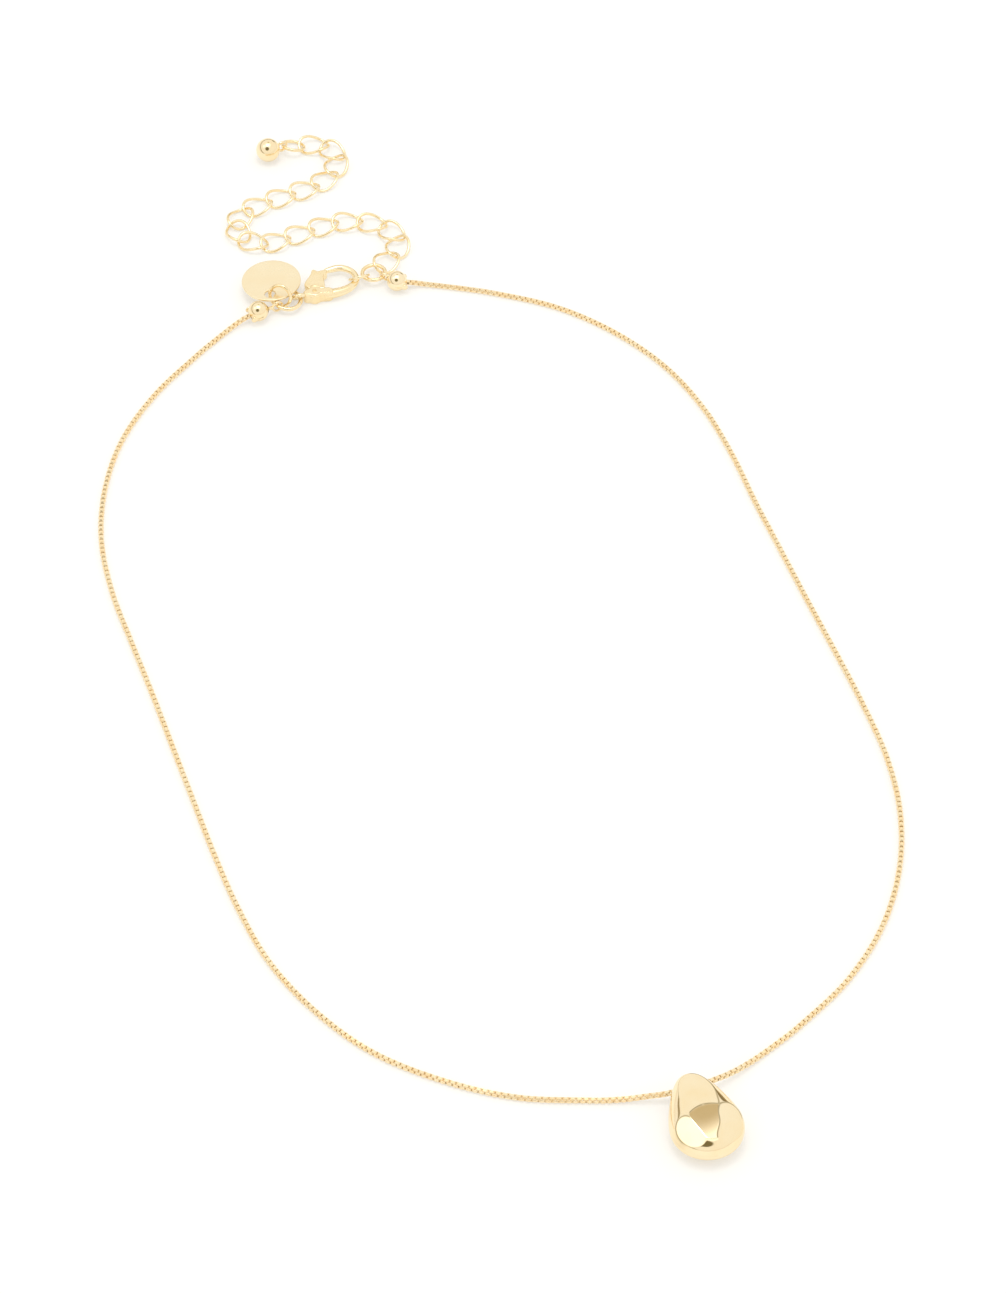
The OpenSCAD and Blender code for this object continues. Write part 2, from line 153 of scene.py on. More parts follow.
def goldPaint(name):
    # Gold whose tone drifts in soft clouds, with fine scratches that roughen and lift it: colour
    # and roughness lie between their two values by a share of the cloud and one of the scratch
    look, mix = goldLook[name], goldMix
    material = bpy.data.materials.new("gold_" + name)
    paint = Paint(material)
    place = paint.add("ShaderNodeTexCoord", output=3)  # Object coordinates
    clouds = paint.noise(place, look["cloud"], *mix["cloudNoise"])
    turned = paint.add("ShaderNodeMapping", {}, {
        "Vector": place, "Rotation": mix["grainTurn"], "Scale": look["stretch"]})
    grain = paint.noise(turned, look["grain"], *mix["grainNoise"])
    tone = paint.shareOf(clouds, *mix["cloudSpan"])
    wear = paint.shareOf(grain, *mix["grainSpan"])
    colour = paint.mixColours(between(tone, wear, mix["paleScratch"]), look["pale"], look["deep"])
    # Dark reflection lines painted into the colour along the drop's cut edges
    if "line" in look:
        edge = paint.add("ShaderNodeAttribute", {"attribute_name": "edgeLine"}, output=2)
        colour = paint.mixColours(edge*mix["lineDepth"], colour, look["line"])
    bump = paint.add("ShaderNodeBump", {}, {
        "Strength": look["bump"], "Distance": mix["bumpDepth"], "Height": grain})
    roughness = between(*look["rough"], between(tone, wear, mix["roughScratch"]))
    metal = paint.add("ShaderNodeBsdfPrincipled", {}, {
        "Base Color": colour, "Metallic": 1.0, "Normal": bump, "Roughness": roughness})
    paint.add("ShaderNodeOutputMaterial", {}, {"Surface": metal})
    return material


gold = {name: goldPaint(name) for name in goldLook}
print("gold mixed:", ", ".join(gold))


# Meshes from grids

def unit(v):
    # Vectors divided by their length
    return v/np.linalg.norm(v, axis=-1, keepdims=True)


def gridFaces(rows, columns, rowsMeet):
    # Quads between neighbouring points of a grid whose columns meet and whose rows may
    r, c = np.meshgrid(np.arange(rows if rowsMeet else rows - 1), np.arange(columns), indexing="ij")
    below, right = (r + 1) % rows, (c + 1) % columns
    corners = [r*columns + c, r*columns + right, below*columns + right, below*columns + c]
    return np.stack(corners, -1).reshape(-1, 4)


def outward(points, faces):
    # Turns the faces round where the volume that they enclose, the sum over their triangles of
    # first corner times cross product of the others, comes out negative
    middle = points.mean(0)
    volume = 0
    for group in faces:
        first = points[group[:, 0]] - middle
        for k in range(1, group.shape[1] - 1):
            turn = np.cross(points[group[:, k]] - middle, points[group[:, k + 1]] - middle)
            volume += (first*turn).sum()
    return points, faces if volume > 0 else [group[:, ::-1] for group in faces]


def skin(grid, closed=False):
    # A tube of rows of points; open ends are closed by a fan to their middle
    rows, columns = grid.shape[:2]
    points = grid.reshape(-1, 3)
    faces = [gridFaces(rows, columns, closed)]
    if not closed:
        c = np.arange(columns)
        right = (c + 1) % columns
        lastRow = (rows - 1)*columns
        start = np.full(columns, len(points))
        points = np.vstack([points, grid[0].mean(0), grid[-1].mean(0)])
        faces.append(np.stack([start, right, c], -1))
        faces.append(np.stack([start + 1, lastRow + c, lastRow + right], -1))
    return outward(points, faces)


def moved(shell, turn, place):
    # A shell's points turned by a matrix and then shifted
    points, faces = shell
    return points @ turn.T + np.array(place), faces


def makePiece(name, shells, finish, nodes, body="root", crease=None):
    # One mesh piece in metres from shells in millimetres, standing for the named nodes; it is
    # smooth without a crease, flat where that is 0, and sharp at edges over its angle otherwise
    starts, corners, points, used = [], [], [], 0
    for shellPoints, faces in shells:
        points.append(shellPoints)
        for group in faces:
            corners.append((group + used).ravel())
            starts.append(np.full(len(group), group.shape[1]))
        used += len(shellPoints)
    points, corners, sizes = np.vstack(points)*mm, np.concatenate(corners), np.concatenate(starts)
    mesh = bpy.data.meshes.new(name)
    mesh.vertices.add(len(points))
    mesh.vertices.foreach_set("co", points.ravel())
    mesh.loops.add(len(corners))
    mesh.loops.foreach_set("vertex_index", corners)
    mesh.polygons.add(len(sizes))
    mesh.polygons.foreach_set("loop_start", np.concatenate([[0], np.cumsum(sizes)[:-1]]))
    mesh.polygons.foreach_set("use_smooth", np.full(len(sizes), crease != 0))
    mesh.update(calc_edges=True)
    mesh.validate()
    if crease:
        mesh.set_sharp_from_angle(angle=math.radians(crease))
    mesh.materials.append(gold[finish])
    piece = bpy.data.objects.new(name, mesh)
    bpy.context.scene.collection.objects.link(piece)
    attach(piece, body)
    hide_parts(*nodes)
    return piece


# Curves and turns

def turnX(degrees):
    # Matrix of a turn about X
    c, s = math.cos(math.radians(degrees)), math.sin(math.radians(degrees))
    return np.array([[1, 0, 0], [0, c, -s], [0, s, c]])


def turnY(degrees):
    # Matrix of a turn about Y
    c, s = math.cos(math.radians(degrees)), math.sin(math.radians(degrees))
    return np.array([[c, 0, s], [0, 1, 0], [-s, 0, c]])


def turnZ(degrees):
    # Matrix of a turn about Z
    c, s = math.cos(math.radians(degrees)), math.sin(math.radians(degrees))
    return np.array([[c, -s, 0], [s, c, 0], [0, 0, 1]])


def lean(tilt, bearing):
    # Tilt towards a bearing: turned to the bearing, tilted, and turned back
    return turnZ(bearing) @ turnY(tilt) @ turnZ(-bearing)


def smoothRoute(route, gap):
    # Cubic curve through given points: each stretch is the usual mix of its two ends and
    # their slopes, cut into steps no longer than the gap; further columns are carried along
    p = np.array(route, float)
    span = np.linalg.norm(np.diff(p[:, :3], axis=0), axis=1)
    before = np.concatenate([[0], span])
    after = np.concatenate([span, [0]])
    ahead = np.vstack([p[1:], p[-1:]])
    behind = np.vstack([p[:1], p[:-1]])
    slope = (ahead - behind)/(before + after)[:, None]
    steps = np.maximum(1, np.ceil(span/gap)).astype(int)
    i = np.repeat(np.arange(len(span)), steps)
    t = np.concatenate([np.arange(n)/n for n in steps])[:, None]
    w = span[i][:, None]
    curve = ((2*t**3 - 3*t**2 + 1)*p[i] + (t**3 - 2*t**2 + t)*w*slope[i]
             + (3*t**2 - 2*t**3)*p[i + 1] + (t**3 - t**2)*w*slope[i + 1])
    return np.vstack([curve, p[-1:]])


def closedCurve(points, steps):
    # Smooth closed curve through the corners: the usual four-point blend of neighbours
    p = np.array(points, float)
    t = (np.arange(steps)/steps)[None, :, None]
    a, b, c, d = (np.roll(p, k, 0)[:, None] for k in (1, 0, -1, -2))
    curve = 0.5*(2*b + (c - a)*t + (2*a - 5*b + 4*c - d)*t**2 + (3*b - a - 3*c + d)*t**3)
    return curve.reshape(-1, 2)


def frames(path, closed=False):
    # Direction, side and up at each point of a path: the way from the point before to the point
    # after, its cross product with Z, and the cross product of these two
    if closed:
        ahead = unit(np.roll(path, -1, 0) - np.roll(path, 1, 0))
    else:
        ahead = unit(np.gradient(path, axis=0))
    side = unit(np.cross(ahead, [0, 0, 1]))
    return ahead, side, np.cross(side, ahead)


def tube(path, width, height, sides, closed=False):
    # Oval of a width and height carried square along a path
    ahead, side, up = frames(path, closed)
    a = 2*np.pi*(np.arange(sides) + 0.5)/sides
    w, h = np.broadcast_to(width, len(path)), np.broadcast_to(height, len(path))
    return (path[:, None] + (w[:, None]/2*np.cos(a))[..., None]*side[:, None]
            + (h[:, None]/2*np.sin(a))[..., None]*up[:, None])


def wireRing(place, radius, wire, tilt, seam=0.0, seamAt=0.0, steps=72, sides=18):
    # Circle carried round a circle; a seam leaves the two cut ends of the wire apart
    half = seam/radius/2
    if seam:
        a = math.radians(seamAt) + np.linspace(half, 2*np.pi - half, steps)
    else:
        a = 2*np.pi*np.arange(steps)/steps
    b = 2*np.pi*np.arange(sides)/sides
    out = radius + wire/2*np.cos(b)
    ring = np.stack([out[None]*np.cos(a)[:, None], out[None]*np.sin(a)[:, None],
                     np.broadcast_to(wire/2*np.sin(b), (steps, sides))], -1)
    return skin(ring @ lean(*tilt).T + np.array(place), closed=not seam)


def lathe(profile, sides, turn=np.eye(3), place=(0, 0, 0)):
    # Profile of radius and height turned about its axis
    a = 2*np.pi*np.arange(sides)/sides
    r, z = np.array(profile, float).T
    grid = np.stack([r[:, None]*np.cos(a), r[:, None]*np.sin(a),
                     np.broadcast_to(z[:, None], (len(r), sides))], -1)
    return skin(grid @ turn.T + np.array(place))


def plate(outline, centre, low, high, rounding, lowRounding=None, steps=5):
    # Flat outline raised to a plate; its edges are rounded by quarter circles that draw the
    # outline in towards a centre, and shrunk outlines fill its top
    o, c = np.array(outline, float), np.array(centre, float)
    inward = unit(c - o)
    lowR = rounding if lowRounding is None else lowRounding
    t = np.linspace(0, np.pi/2, steps)
    inset = np.concatenate([lowR*(1 - np.sin(t)), rounding*(1 - np.cos(t))])
    flat = o[None] + inset[:, None, None]*inward[None]
    shrunk = np.array([0.75, 0.5, 0.25])
    flat = np.concatenate([flat, c + (flat[-1] - c)*shrunk[:, None, None]])
    z = np.concatenate([low + lowR*(1 - np.cos(t)), high - rounding + rounding*np.sin(t),
                        np.full(len(shrunk), high)])
    grid = np.concatenate([flat, np.broadcast_to(z[:, None, None], (len(z), len(o), 1))], -1)
    return skin(grid)


# Box chain

chainLook = {
    "pitch": 0.435,       # from one link to the next
    "outer": 0.76,        # outside of a square link
    "strip": 0.16,        # thickness of its strip
    "wide": 0.42,         # width of its strip
    "corner": 0.17,       # cut of the outer corners
    "innerCorner": 0.4,   # cut of the inner corners, as a share of the outer
    "bevel": 0.06,        # bevel of the strip's outer edges
    "wobble": 3.0,        # how far the chain rolls to and fro, in degrees
    "wave": 17.0,         # length of one such roll
    "ripple": (0.6, 2.7, 1),  # a second roll: its share, how much faster it is, and its start
    "lowest": 0.4,        # least height of the chain's middle
    "step": 0.4,          # step of the route that the links are set on
}
routeLeft = [
    (-34.7, 56.8, 1.38), (-35.6, 56.4, 1.1), (-36.7, 55.8, 0.8), (-38.4, 54.3, 0.5),
    (-40.6, 51.8, 0.39), (-42.8, 49.1, 0.39), (-48.6, 41.0, 0.39), (-52.9, 31.9, 0.39),
    (-54.9, 22.2, 0.39), (-54.9, 12.2, 0.39), (-52.9, 2.4, 0.39), (-49.7, -7.1, 0.39),
    (-46.4, -16.5, 0.39), (-43.2, -26.0, 0.39), (-40.0, -35.5, 0.39), (-36.8, -44.9, 0.39),
    (-33.2, -54.3, 0.39), (-28.8, -63.2, 0.39), (-22.7, -71.1, 0.39), (-15.2, -77.7, 0.39),
    (-6.2, -82.2, 0.39), (3.3, -84.9, 0.39), (13.3, -85.4, 0.39), (17.2, -85.3, 0.55),
    (20.0, -85.2, 1.0), (22.4, -85.1, 1.4), (24.0, -84.7, 1.5), (25.3, -84.3, 1.5)]
routeRight = [
    (25.3, -84.3, 1.5), (26.9, -83.7, 1.5), (28.8, -82.8, 1.4), (31.0, -81.4, 1.0),
    (33.6, -79.3, 0.55), (36.8, -76.5, 0.39), (39.9, -73.6, 0.39), (46.5, -66.1, 0.39),
    (51.4, -57.4, 0.39), (54.2, -47.8, 0.39), (54.9, -37.9, 0.39), (53.6, -28.0, 0.39),
    (50.8, -18.4, 0.39), (47.5, -8.9, 0.39), (44.1, 0.5, 0.39), (40.8, 9.9, 0.39),
    (37.5, 19.3, 0.39), (34.4, 28.9, 0.39), (30.6, 38.1, 0.39), (25.3, 46.5, 0.39),
    (18.2, 53.5, 0.39), (9.8, 58.8, 0.39), (0.3, 61.9, 0.39), (-7.3, 63.4, 0.39),
    (-9.8, 63.7, 0.5), (-11.5, 63.7, 0.8), (-12.5, 63.5, 1.1), (-13.5, 63.4, 1.4)]


def squareLink():
    # One square link: a bevelled strip carried round eight corners, as (along, across, axis)
    look = chainLook
    half, inner, cut = look["outer"]/2, look["outer"]/2 - look["strip"], look["corner"]

    def corners(h, c):
        # Corners of a square of half width h whose own corners are cut off by c
        return np.array([(h, h - c), (h - c, h), (-h + c, h), (-h, h - c),
                         (-h, -h + c), (-h + c, -h), (h - c, -h), (h, -h + c)])

    outside, inside = corners(half, cut), corners(inner, cut*look["innerCorner"])
    w, b, deep = look["wide"]/2, look["bevel"], look["bevel"]/look["strip"]
    section = np.array([(0, -w), (1 - deep, -w), (1, b - w), (1, w - b), (1 - deep, w), (0, w)])
    flat = inside[:, None] + (outside - inside)[:, None]*section[None, :, :1]
    axis = np.broadcast_to(section[None, :, 1:], (len(outside), len(section), 1))
    return np.concatenate([flat, axis], -1)


def boxChain(route, link):
    # Links set along the route at even steps, every second one turned a quarter, rolled to and
    # fro by two sine waves
    look = chainLook
    path = smoothRoute(route, look["step"])
    path[:, 2] = np.maximum(path[:, 2], look["lowest"])
    reach = np.concatenate([[0], np.cumsum(np.linalg.norm(np.diff(path, axis=0), axis=1))])
    count = 2*round(reach[-1]/look["pitch"]/2)
    at = (np.arange(count) + 0.5)*reach[-1]/count
    middle = np.stack([np.interp(at, reach, path[:, k]) for k in range(3)], -1)
    ahead, side, up = frames(middle)
    phase = 2*np.pi*at/look["wave"]
    share, faster, start = look["ripple"]
    roll = np.radians(look["wobble"])*(np.sin(phase) + share*np.sin(phase*faster + start))
    roll = roll[:, None]
    side, up = side*np.cos(roll) + up*np.sin(roll), up*np.cos(roll) - side*np.sin(roll)
    odd = (np.arange(count) % 2 == 1)[:, None]
    across, axis = np.where(odd, up, side), np.where(odd, side, -up)
    points = middle[:, None] + link.reshape(-1, 3) @ np.stack([ahead, across, axis], 1)
    firstPoints = np.arange(count)*points.shape[1]
    faces = gridFaces(*link.shape[:2], True)[None] + firstPoints[:, None, None]
    print("a chain of", count, "links")
    return outward(points.reshape(-1, 3), [faces.reshape(-1, 4)])


for name, route in (("chain_left", routeLeft), ("chain_right", routeRight)):
    links = boxChain(route, squareLink())
    makePiece("box_" + name, [links], "chain", [name], crease=0)


# Pendant

dropLook = {
    "place": (27.5, -90.85, 0), "turn": 18.6,
    "r": 4.8, "topR": 2.15,      # radii of the wide and of the narrow end
    "d": 5.95, "soft": 2.0,      # distance between their middles, and how tightly they blend
    "centre": 2.25,              # where the front is highest, from the wide end's middle
    "rim": 1.9, "front": 3.05,   # height of the rim and of the dome over it
    "power": 2.55, "powerSwing": 0.35, "backPower": 2.1,  # fullness of the front and the back
    "sunk": 0.15,                # what the flat back cuts off
    "bore": 1.6, "boreV": 6.85, "boreZ": 1.7, "boreReach": 6,  # width, middle and half length
    "crease": 50,                # edges over this angle are sharp
    "edgeSoft": 0.02,            # how softly the cuts run into each other
    "lineWide": 0.085,           # half width of the painted dark reflection line at their edges
    "lineLow": 0.3, "lineRise": 0.4,  # height over the rim where the painted line starts, rise to its full
}
# Cuts of the front: a point with its height, the bearing that the cut falls to, its fall in
# degrees, and how much it bows across and along that bearing
dropCuts = {
    "upper": (-1.08, 1.59, 4.758, 108.2, 7, 0.0155, 0.004),
    "middle": (-0.4, 0.2, 4.676, 270, 4.15, -0.01, 0.012),
    "right": (1.2, -0.88, 4.609, -34, 26, 0.012, 0),
    "left": (-1.88, -0.89, 4.604, 206, 29.5, 0.012, 0),
}
rightWave = (-0.05, 2.0, -0.82)  # height of the right cut's wave, its rate along v and its start
# Share of the painted dark reflection line where two of dome, upper, middle, right and left cut
# meet
paintedLineShares = np.array([
    [0, 1, 0.4, 1, 0.8],
    [1, 0, 1, 1, 1],
    [0.4, 1, 0, 1, 0],
    [1, 1, 1, 0, 1],
    [0.8, 1, 0, 1, 0]])
# Where a cut's painted dark reflection line against the dome fades: along u (0) or v (1), from
# where it is nothing to where it is full, and the least that stays
paintedLineFades = {"upper": (0, 0, 0.5, 0), "right": (1, -1.2, -0.4, 0), "left": (1, -2.9, -1.9, 0.1)}


def dropEdge(a):
    # Outline by its reach in each direction: the wide end's radius, to which the narrow end's
    # is added smoothly, and the outline's point from that reach and its slope
    look = dropLook
    weight = np.exp(look["soft"]*(look["topR"] + look["d"]*np.cos(a) - look["r"]))
    reach = look["r"] + np.log(1 + weight)/look["soft"]
    slope = -weight/(1 + weight)*look["d"]*np.sin(a)
    return np.stack([reach*np.sin(a) + slope*np.cos(a), reach*np.cos(a) - slope*np.sin(a)], -1)


def cutHeight(u, v, dome):
    # Soft least of the dome's height and the heights of the bowed cuts, the difference
    # between the two lowest of them, and the share of the painted dark reflection line where these
    # two meet
    heights = [dome]
    for name, (cu, cv, high, bearing, fall, bowAcross, bowAlong) in dropCuts.items():
        b = math.radians(bearing)
        along = (u - cu)*math.cos(b) + (v - cv)*math.sin(b)
        across = (v - cv)*math.cos(b) - (u - cu)*math.sin(b)
        cut = high - math.tan(math.radians(fall))*along - bowAlong*along**2 - bowAcross*across**2
        if name == "right":
            size, rate, start = rightWave
            cut = cut + size*np.sin(rate*(v - cv) + start)
        heights.append(cut)
    soft = dropLook["edgeSoft"]
    order = np.argsort(heights, axis=0)
    least, second = np.take_along_axis(np.array(heights), order[:2], 0)
    share = paintedLineShares[order[0], order[1]]
    for name, (axis, start, full, kept) in paintedLineFades.items():
        cut = 1 + list(dropCuts).index(name)
        meet = (order[:2].min(0) == 0) & (order[:2].max(0) == cut)
        fade = np.clip(((u, v)[axis] - start)/(full - start), kept, 1)
        share = np.where(meet, share*fade, share)
    height = least - soft*np.log(sum(np.exp((least - h)/soft) for h in heights))
    return height, second - least, share


def paintedLineStrength(flat, gap, share, leastRate=1e-6):
    # Strength of the painted dark reflection line, a bell curve of the distance from an edge: the
    # gap between the two surfaces that meet there, over the rate at which it opens, taken from the
    # neighbour where that is steepest
    def stretch(x, axis):
        # Difference between the neighbours on both sides, along rows or columns
        return np.gradient(x, axis=0) if axis == 0 else np.roll(x, -1, 1) - np.roll(x, 1, 1)

    rate = sum((stretch(gap, k)/np.linalg.norm(stretch(flat, k), axis=-1))**2 for k in (0, 1))
    rate = np.max([rate, np.roll(rate, 1, 1), np.roll(rate, -1, 1)], axis=0)
    rate[1:-1] = np.max([rate[:-2], rate[1:-1], rate[2:]], axis=0)
    rate[0] = rate[1]
    return share*np.exp(-(gap/dropLook["lineWide"])**2/np.maximum(rate, leastRate))


def pendantShell(around=360, fronts=130, backs=40):
    # Rounded drop: rows run from the front's middle over the rim to the back's middle, each a
    # smaller outline, by powers of the sine and cosine of a quarter turn on either side
    look = dropLook
    poleRows = [0.0008, 0.003, 0.007]
    backRows = 2 - np.linspace(0.02, 1, backs)[::-1][1:]
    t = np.concatenate([poleRows, np.linspace(0.012, 1, fronts), backRows])
    edge = dropEdge(-2*np.pi*np.arange(around)/around)
    middle = np.array([0, look["centre"]])
    front = t <= 1
    a = np.pi/2*np.where(front, t, 2 - t)
    away = edge - middle
    fullness = look["power"] + look["powerSwing"]*(1 - 2*away[:, 0]**2/(away**2).sum(-1))
    power = np.where(front[:, None], fullness, look["backPower"])
    spread = np.sin(a)[:, None]**(2/power)
    rise = np.clip(np.cos(a), 0, 1)[:, None]**(2/power)
    flat = middle + away*spread[..., None]
    z = np.where(front[:, None], look["rim"] + look["front"]*rise,
                 np.maximum(0, look["rim"] - (look["rim"] + look["sunk"])*rise))
    # painted dark reflection line along the cuts' edges, kept to the front above the rim
    line = np.zeros_like(z)
    z[front], gap, share = cutHeight(flat[front, :, 0], flat[front, :, 1], z[front])
    onTop = np.clip((z[front] - look["rim"] - look["lineLow"])/look["lineRise"], 0, 1)
    line[front] = paintedLineStrength(flat[front], gap, share*onTop)
    grid = np.concatenate([flat, z[..., None]], -1)
    line = np.concatenate([line.ravel(), [line[0].mean(), 0]])
    return skin(grid @ turnZ(look["turn"]).T + np.array(look["place"])), line


def cutBore(piece):
    # Takes the bore out of the drop with a cylinder that is then removed
    look = dropLook
    turn = turnZ(look["turn"])
    place = turn @ np.array([0, look["boreV"], look["boreZ"]]) + np.array(look["place"])
    profile = [(look["bore"]/2, -look["boreReach"]), (look["bore"]/2, look["boreReach"])]
    points, faces = lathe(profile, sides=48, turn=turn @ turnY(90), place=place)
    mesh = bpy.data.meshes.new("bore")
    mesh.from_pydata((points*mm).tolist(), [], [f.tolist() for group in faces for f in group])
    tool = bpy.data.objects.new("bore", mesh)
    bpy.context.scene.collection.objects.link(tool)
    cut = piece.modifiers.new("bore", "BOOLEAN")
    cut.operation, cut.object, cut.solver = "DIFFERENCE", tool, "EXACT"
    depsgraph = bpy.context.evaluated_depsgraph_get()
    done = bpy.data.meshes.new_from_object(piece.evaluated_get(depsgraph))
    piece.modifiers.clear()
    piece.data = done
    bpy.data.objects.remove(tool)
    done.set_sharp_from_angle(angle=math.radians(look["crease"]))


dropShell, edgeLine = pendantShell()
pendant = makePiece("pendant_drop", [dropShell], "drop", ["pendant"])
# the painted dark reflection line rides on the drop's points as an attribute
pendant.data.attributes.new("edgeLine", "FLOAT", "POINT").data.foreach_set("value", edgeLine)
cutBore(pendant)
print("pendant made")


# End cups

cupLook = {
    "r": 1.5, "wall": 0.35, "bore": 1.2,  # radius, wall and the chain's hole
    "fall": 15,                       # how far the hole's side is tipped down, in degrees
    "pole": 0.02, "brim": 0.03,       # turn left out at the closed end and beside the hole
    "seam": 0.07, "seamDeep": 0.16,   # half width and depth of the slit between the halves
    "seamEnd": -0.3, "seamFade": 12,  # where the slit ends along the axis, and how sharply
    "ear": 1.0, "earThick": 0.3,      # width and thickness of the lugs
    "earAlong": 0.72, "earBeside": 0.76,  # their places, as shares of the radius
    "wire": 0.34,                     # wire of the loop
    # stem: steps from the ball's middle and from the loop's near side, and its thickness there
    "stemOut": (1.38, 1.62, 1.85), "stemIn": (-0.12, 0.1),
    "stemThick": (1.35, 0.62, 0.52, 0.56, 0.4),
}
cupSpots = {
    "left": {"place": (-34.25, 57.0, 1.5), "heading": 205,
             "loop": (-31.47, 58.38, 1.1), "tilt": (86.8, 296.9), "loopR": 0.77},
    "right": {"place": (-14.0, 63.35, 1.5), "heading": 5,
              "loop": (-15.82, 64.61, 1.15), "tilt": (75, 60), "loopR": 0.78},
}


def cupShell(around=192, outerRows=90, innerRows=24):
    # Hollow ball turned about the chain's hole, its outside drawn in along the slit
    look = cupLook
    r, inner, hole = look["r"], look["r"] - look["wall"], look["bore"]/2
    closedEnd = np.pi - look["pole"]
    polar = np.concatenate([
        np.linspace(closedEnd, math.asin(hole/r) + look["brim"], outerRows),
        np.linspace(math.asin(hole/inner) + look["brim"], closedEnd, innerRows)])
    outside = np.arange(len(polar)) < outerRows
    radius = np.where(outside, r, inner)[:, None]
    a = 2*np.pi*np.arange(around)/around
    y = np.sin(polar)[:, None]*np.cos(a)
    z = np.sin(polar)[:, None]*np.sin(a)
    x = np.broadcast_to(np.cos(polar)[:, None], y.shape)
    reach = 1/(1 + np.exp(-(x*r - look["seamEnd"])*look["seamFade"]))
    groove = look["seamDeep"]*np.exp(-(z*r/look["seam"])**4)*reach*outside[:, None]
    scale = radius - groove
    return np.stack([x*scale, y*scale, z*scale], -1)


def cupEar(sideSign):
    # Rounded lug beside the chain's hole: a low profile turned about its own axis
    look = cupLook
    t, e = look["earThick"]/2, look["ear"]/2
    profile = [(e*0.3, -t), (e*0.8, -t), (e*0.95, -t*0.7), (e, 0),
               (e*0.95, t*0.7), (e*0.8, t), (e*0.3, t)]
    place = (look["r"]*look["earAlong"], sideSign*look["r"]*look["earBeside"], 0)
    return lathe(profile, sides=40, turn=turnX(90), place=place)


def cupStem(place, loop, loopR):
    # Round bar of changing thickness on the straight way from the ball to its loop
    way = unit(loop - place)
    reach = np.linalg.norm(loop - place) - loopR
    steps = np.array([*cupLook["stemOut"], *(reach + k for k in cupLook["stemIn"])])
    thick = np.array(cupLook["stemThick"])
    return skin(tube(place + steps[:, None]*way, thick, thick, sides=20))


for name, spot in cupSpots.items():
    place, loop = np.array(spot["place"]), np.array(spot["loop"])
    turn = turnZ(spot["heading"]) @ turnY(cupLook["fall"])
    shells = [skin(cupShell() @ turn.T + place)]
    shells += [moved(cupEar(sign), turn, place) for sign in (-1, 1)]
    shells.append(cupStem(place, loop, spot["loopR"]))
    shells.append(wireRing(loop, spot["loopR"], cupLook["wire"], spot["tilt"]))
    makePiece("end_cup_" + name, shells, "polished", ["bead_tip_" + name], crease=60)
print("end cups made")


# Tag

tagLook = {
    "place": (-32.52, 63.03, 1.81), "tilt": (2.4, 143.7),
    "r": 4.35, "thick": 0.34, "hole": 0.8,
    "holeOff": 2.95, "holeAt": -91.4,  # the hole's distance from the middle and its bearing
    "edge": 0.1,                       # rounding of the rims
}


def tagShell(around=160):
    # Disc with a hole off its middle: circles that slide and grow from the hole to the rim
    look = tagLook
    t, e = look["thick"]/2, look["edge"]
    bend = np.linspace(0, np.pi/2, 5)
    spread = np.linspace(0, 1, 14)[1:-1]
    holeAt = math.radians(look["holeAt"])
    holeCentre = look["holeOff"]*np.array([math.cos(holeAt), math.sin(holeAt)])
    # share of the way from hole to rim, radius and height of each circle of the top half
    way = np.concatenate([np.zeros(len(bend)), spread, np.ones(len(bend))])
    inner = look["hole"] + e*(1 - np.cos(bend))
    outer = (look["r"] - e) + e*np.sin(bend)
    radius = np.concatenate([inner, inner[-1] + (outer[0] - inner[-1])*spread, outer])
    z = np.concatenate([t - e + e*np.sin(bend), np.full(len(spread), t), t - e + e*np.cos(bend)])
    way, radius, z = (np.concatenate([x, s*x[::-1]]) for x, s in ((way, 1), (radius, 1), (z, -1)))
    a = 2*np.pi*np.arange(around)/around
    centre = holeCentre*(1 - way)[:, None]
    grid = np.stack([centre[:, :1] + radius[:, None]*np.cos(a),
                     centre[:, 1:] + radius[:, None]*np.sin(a),
                     np.broadcast_to(z[:, None], (len(z), around))], -1)
    return skin(grid @ lean(*look["tilt"]).T + np.array(look["place"]), closed=True)


makePiece("round_tag", [tagShell()], "satin", ["tag"], crease=40)
print("tag made")


# Rings

ringSeam = 0.03  # gap between the cut ends of a ring's wire
# Middle, radius, wire, tilt with its bearing, and where the cut lies
ringSpots = {
    "tag_ring": ((-31.12, 59.82, 1.85), 1.65, 0.52, (70.6, 248.8), 40),
    "jump_ring": ((-30.01, 59.75, 1.13), 1.89, 0.62, (4.9, 327.1), -20),
    "hook_ring": ((-19.61, 64.37, 1.25), 1.46, 0.42, (45, 110), 215),
    "join_ring": ((-17.47, 65.51, 1.11), 1.69, 0.58, (4, 113), 300),
    "end_ring": ((-30.19, 93.35, 0.88), 1.66, 0.5, (21.5, 66), 250),
}
for name, (place, radius, wire, tilt, seamAt) in ringSpots.items():
    ring = wireRing(place, radius, wire, tilt, ringSeam, seamAt, steps=96, sides=20)
    makePiece(name + "_wire", [ring], "cast", [name], crease=50)
print("rings made")


# Clasp

claspLook = {
    "place": (-24.18, 62.81, 0), "turn": 23,
    "high": 1.9, "cheek": 0.45,              # height of the head and thickness of each cheek
    "pivot": (-2.5, -1.0), "pivotR": 1.1,    # round boss about the lever's pin
    "neckEnd": (-3.6, -0.85), "neckR": 0.6,  # neck towards the eye
    "barEnd": (-0.4, -1.66), "barHalf": 0.6,  # bar towards the hook
    "slotR": 0.9, "web": (152, 358),         # the slot's round end, and where the web closes it
    "eye": (-4.8, -0.51, 1.09), "eyeR": 0.95, "eyeWire": 0.62, "eyeTilt": (52.7, 82.6),
    "edge": 0.3, "slotEdge": 0.02,           # rounding of the outer and of the slot's edges
    "fillet": 0.1, "trim": 0.1,              # softness where outlines meet; share it is drawn in
    "rivetR": 0.35, "rivetDome": 0.07,      # the pin's radius and the height of its dome
    "rivetLow": 0.02, "rivetPower": 0.7,    # its lower end, and how full the dome is
}
